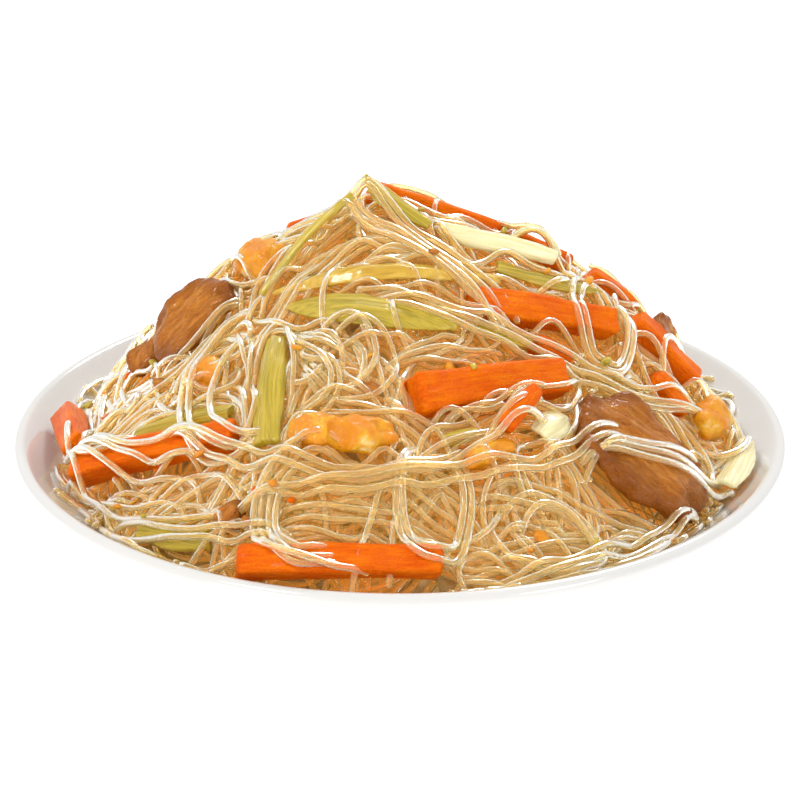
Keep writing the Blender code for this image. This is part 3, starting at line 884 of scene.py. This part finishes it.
def plate_piece(material):
    bm = bmesh.new()
    corners = [bm.verts.new((x * MM, 0, z * MM)) for x, z in plate_outline()]
    edges = [bm.edges.new(pair) for pair in zip(corners, corners[1:])]
    bmesh.ops.spin(
        bm, geom=corners + edges, cent=(0, 0, 0), axis=(0, 0, 1), angle=2 * math.pi, steps=192, use_merge=True
    )
    bmesh.ops.remove_doubles(bm, verts=bm.verts, dist=1e-6)
    bmesh.ops.recalc_face_normals(bm, faces=bm.faces)
    mesh = bpy.data.meshes.new("plate_glazed")
    bm.to_mesh(mesh)
    bm.free()
    return new_piece("plate_glazed", mesh, material, ("plate",))


# ---------- toppings ----------


def refined(node, voxel, relief_of, material, smoothing=4):
    """A finer copy of a CAD node: remeshed, softened, then pushed in and out by relief_of(its grain)."""
    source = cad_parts[node]
    piece = bpy.data.objects.new(node + "_cooked", source.data.copy())
    bpy.context.scene.collection.objects.link(piece)
    bm = bmesh.new()
    bm.from_mesh(piece.data)
    bmesh.ops.remove_doubles(bm, verts=bm.verts, dist=1e-6)
    bm.to_mesh(piece.data)
    bm.free()
    remesh = piece.modifiers.new("finer", "REMESH")
    remesh.mode = "VOXEL"
    remesh.voxel_size = voxel * MM
    soften = piece.modifiers.new("softer", "SMOOTH")
    soften.factor = 0.5
    soften.iterations = smoothing
    graph = bpy.context.evaluated_depsgraph_get()
    mesh = bpy.data.meshes.new_from_object(piece.evaluated_get(graph))
    bpy.data.objects.remove(piece)
    places = np.array([v.co for v in mesh.vertices]) / MM
    normals = np.array([v.normal for v in mesh.vertices])
    middle = places.mean(axis=0)
    axes = np.linalg.svd(places - middle, full_matrices=False)[2]
    grain = (places - middle) @ axes.T
    half = np.abs(grain).max(axis=0)
    shift, numbers = relief_of(grain, half, (sum(ord(letter) for letter in node) * 7.3) % 97)
    places = places + normals * shift[:, None]
    mesh.vertices.foreach_set("co", (places * MM).astype(np.float32).ravel())
    layer = mesh.attributes.new("grain", "FLOAT_VECTOR", "POINT")
    layer.data.foreach_set("vector", (grain + middle * 1.7).astype(np.float32).ravel())
    for key, values in numbers.items():
        layer = mesh.attributes.new(key, "FLOAT", "POINT")
        layer.data.foreach_set("value", values.astype(np.float32))
    mesh.name = node + "_cooked"
    mesh.materials.clear()
    return new_piece(node + "_cooked", mesh, material, (node,))


def noise_at(places, scale, seed):
    """Smooth noise from -1 to 1 at each place; scale is per millimetre, one value or one for each axis."""
    spots = places * np.asarray(scale) + seed
    return np.array([noise.noise(Vector(spot)) for spot in spots])


def carrot_relief(grain, half, seed):
    """Knife-cut faces that aren't quite flat, with faint fibres."""
    return 0.45 * noise_at(grain, (0.08, 0.2, 0.2), seed) + 0.12 * noise_at(grain, (0.15, 1.1, 1.1), seed), {}


def leaf_relief(grain, half, seed):
    """Ribs that run the length of the stalk."""
    ribs = noise_at(grain, (0.03, 0.9, 0.25), seed)
    return 0.28 * ribs + 0.25 * noise_at(grain, (0.12, 0.3, 0.3), seed), {}


def bulb_relief(grain, half, seed):
    return 0.18 * noise_at(grain, (0.04, 0.7, 0.7), seed) + 0.25 * noise_at(grain, 0.12, seed), {}


def egg_relief(grain, half, seed):
    """Curds: big soft lobes with folds between them, and small knobs."""
    lobes = 1 - 2 * np.abs(noise_at(grain, 0.16, seed))
    return 1.1 * lobes + 0.7 * noise_at(grain, 0.38, seed) + 0.25 * noise_at(grain, 1.0, seed) - 0.3, {}


def pork_relief(grain, half, seed):
    """Torn muscle fibres, and a number that is 1 at the slice's edge."""
    rim = np.clip(np.hypot(grain[:, 0] / half[0], grain[:, 1] / half[1]), 0, 1)
    rim = np.clip(rim + 0.18 * noise_at(grain, 0.2, seed), 0, 1)
    fibres = noise_at(grain, (0.10, 0.5, 0.4), seed)
    folds = 1 - 2 * np.abs(noise_at(grain, (0.07, 0.16, 0.16), seed))
    lumps = (
        0.8 * noise_at(grain, 0.13, seed)
        + 0.35 * noise_at(grain, 0.4, seed)
        + 0.15 * noise_at(grain, 1.1, seed)
    )
    outline = 1.9 * rim**3 * noise_at(grain, 0.11, seed + 31)
    return 0.6 * fibres + 0.8 * folds + lumps + outline - 0.4, {"rim": rim}


def dress_toppings(relief, rng):
    carrot = carrot_material()
    leaf = leaf_material("celery leaf", (0.66, 0.48, 0.055), (0.49, 0.35, 0.018), (0.28, 0.22, 0.006))
    golden = leaf_material("golden leaf", (0.76, 0.52, 0.10), (0.60, 0.36, 0.03), (0.40, 0.21, 0.01))
    pale = leaf_material(
        "onion and bulb", (0.95, 0.90, 0.64), (0.90, 0.81, 0.46), (0.82, 0.72, 0.34), clear=0.35, glassy=0.05
    )
    egg = egg_material()
    pork = pork_material()
    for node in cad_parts:
        kind = node.split("_")[0]
        if kind == "carrot":
            refined(node, 0.62, carrot_relief, carrot, 3)
        elif kind == "egg":
            refined(node, 0.6, egg_relief, egg, 4)
        elif kind == "pork":
            refined(node, 0.62, pork_relief, pork, 4)
        elif kind == "onion" or node == "scallion_bulb":
            refined(node, 0.4, bulb_relief, pale, 14)
        elif kind in ("celery", "scallion"):
            refined(node, 0.4, leaf_relief, golden if node == "celery_long" else leaf, 2)
    carrot_spots = ((-80, -22), (-77, -25), (30, -60))
    crumbs_piece("carrot_crumbs", relief, rng, 16, (0.7, 1.9), carrot, carrot_spots)
    crumbs_piece("scallion_bits", relief, rng, 14, (0.8, 2.2), leaf, ((-62, -62), (18, -44)))
    crumbs_piece("egg_crumbs", relief, rng, 26, (0.8, 2.4), egg, ((-30, -74), (12, -42), (-58, -30)))
    crumbs_piece("pork_crumbs", relief, rng, 9, (1.0, 2.6), pork, ((-36, -78), (-62, -18)))


# ---------- crumbs ----------


def crumb(rng, place, size):
    """A small torn bit: an uneven lump pressed flat, lying at a chance angle."""
    bm = bmesh.new()
    bmesh.ops.create_icosphere(bm, subdivisions=2, radius=1.0)
    seed = Vector(rng.uniform(-50, 50, 3))
    stretch = Vector((1.0, rng.uniform(0.5, 0.9), rng.uniform(0.3, 0.55))) * size
    turn = Euler(rng.uniform(-0.6, 0.6, 2).tolist() + [rng.uniform(0, 2 * math.pi)]).to_matrix()
    for vert in bm.verts:
        lumpy = vert.co * (1 + 0.35 * noise.noise(vert.co * 1.3 + seed))
        vert.co = (turn @ Vector(a * b for a, b in zip(lumpy, stretch)) + place) * MM
    return bm


def crumbs_piece(name, relief, rng, count, sizes, material, chosen=()):
    """Crumbs of one kind, scattered over the strands and pressed in, with some at chosen places."""
    joined = bmesh.new()
    places = list(chosen)
    while len(places) < count:
        place = rng.uniform(-90, 90, 2)
        column, row = cells_of(place)
        if relief.on_heap[column, row] and not relief.topped[column, row] and math.hypot(*place) < 90:
            places.append(tuple(place))
    for place in places:
        column, row = cells_of(np.array(place))
        size = rng.uniform(*sizes)
        height = relief.top[column - 2 : column + 3, row - 2 : row + 3].mean() + 0.15 * size
        lump = crumb(rng, Vector((*place, height)), size)
        mesh = bpy.data.meshes.new("crumb")
        lump.to_mesh(mesh)
        lump.free()
        joined.from_mesh(mesh)
        bpy.data.meshes.remove(mesh)
    mesh = bpy.data.meshes.new(name)
    joined.to_mesh(mesh)
    joined.free()
    places = np.array([vert.co for vert in mesh.vertices]) / MM
    layer = mesh.attributes.new("grain", "FLOAT_VECTOR", "POINT")
    layer.data.foreach_set("vector", places.astype(np.float32).ravel())
    layer = mesh.attributes.new("rim", "FLOAT", "POINT")
    layer.data.foreach_set("value", np.full(len(places), 0.4, np.float32))
    return new_piece(name, mesh, material)


# ---------- stage ----------


def build_stage():
    mesh = bpy.data.meshes.new("floor")
    bm = bmesh.new()
    bmesh.ops.create_grid(bm, x_segments=1, y_segments=1, size=3.0)
    bm.to_mesh(mesh)
    bm.free()
    floor = bpy.data.objects.new("floor", mesh)
    bpy.context.scene.collection.objects.link(floor)
    mesh.materials.append(floor_material())
    floor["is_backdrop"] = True


def area_light(name, place, aim, size, power, colour=(1, 1, 1)):
    light = bpy.data.lights.new(name, "AREA")
    light.shape = "DISK"
    light.size = size
    light.energy = power
    light.color = colour
    lamp = bpy.data.objects.new(name, light)
    bpy.context.scene.collection.objects.link(lamp)
    lamp.location = place
    lamp.rotation_euler = (Vector(aim) - Vector(place)).to_track_quat("-Z", "Y").to_euler()


def build_lights():
    area_light("key", (-0.45, -0.30, 0.90), (0, 0, 0.04), 0.24, 4.0, (1.0, 0.98, 0.95))
    area_light("fill", (0.8, -0.8, 0.5), (0, 0, 0.04), 0.5, 2.4)
    area_light("front", (-0.7, -0.9, 0.35), (0, 0, 0.04), 0.6, 2.0, (1.0, 0.97, 0.92))
    area_light("back", (0.25, 0.75, 0.8), (0, 0, 0.05), 0.3, 4.5)
    world = bpy.data.worlds.new("studio")
    world.use_nodes = True
    sky = world.node_tree.nodes["Background"]
    sky.inputs["Color"].default_value = (1.0, 1.0, 1.0, 1.0)
    sky.inputs["Strength"].default_value = 0.8
    bpy.context.scene.world = world


def build_camera():
    camera = bpy.data.cameras.new("camera")
    camera.lens = CAMERA_LENS
    camera.sensor_width = 36.0
    stand = bpy.data.objects.new("camera", camera)
    bpy.context.scene.collection.objects.link(stand)
    away = Vector((0, -math.cos(CAMERA_RISE), math.sin(CAMERA_RISE)))
    stand.location = CAMERA_AIM + away * CAMERA_DISTANCE
    stand.rotation_euler = (-away).to_track_quat("-Z", "Y").to_euler()
    bpy.context.scene.camera = stand


def main():
    rng = np.random.default_rng(SEED)
    relief = Relief()
    noodle = noodle_material()
    core_piece(relief, core_material())
    bed = [points[::2] for depth in CARPETS for points in lay_carpet(relief, rng, depth)]
    heap = cover_edge(relief, rng) + fill_heap(relief, rng)
    shown = lay_shown(relief, rng)
    strands = [(points, STRAND_RADIUS * rng.uniform(0.90, 1.06), rng.random(), BED_SIDES) for points in bed]
    strands += [
        (points, STRAND_RADIUS * rng.uniform(0.90, 1.06), rng.random(), STRAND_SIDES) for points in heap
    ]
    strands += [
        (points, SHOWN_RADIUS * rng.uniform(0.94, 1.04), 0.3 * rng.random(), SHOWN_SIDES) for points in shown
    ]
    sectors = [[] for _ in range(4)]
    for strand in strands:
        middle = strand[0].mean(axis=0)
        sectors[int((math.atan2(middle[1], middle[0]) + math.pi) / (math.pi / 2)) % 4].append(strand)
    for name, group in zip(("front_left", "front_right", "back_right", "back_left"), sectors):
        strands_piece("noodles_" + name, group, relief, noodle, ("noodles",))
    dress_toppings(relief, rng)
    plate_piece(glaze_material())
    build_stage()
    build_lights()
    build_camera()
    bpy.context.scene.view_settings.view_transform = "Standard"


main()

[[list(corner) for corner in box] for box in (cad_box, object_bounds())]
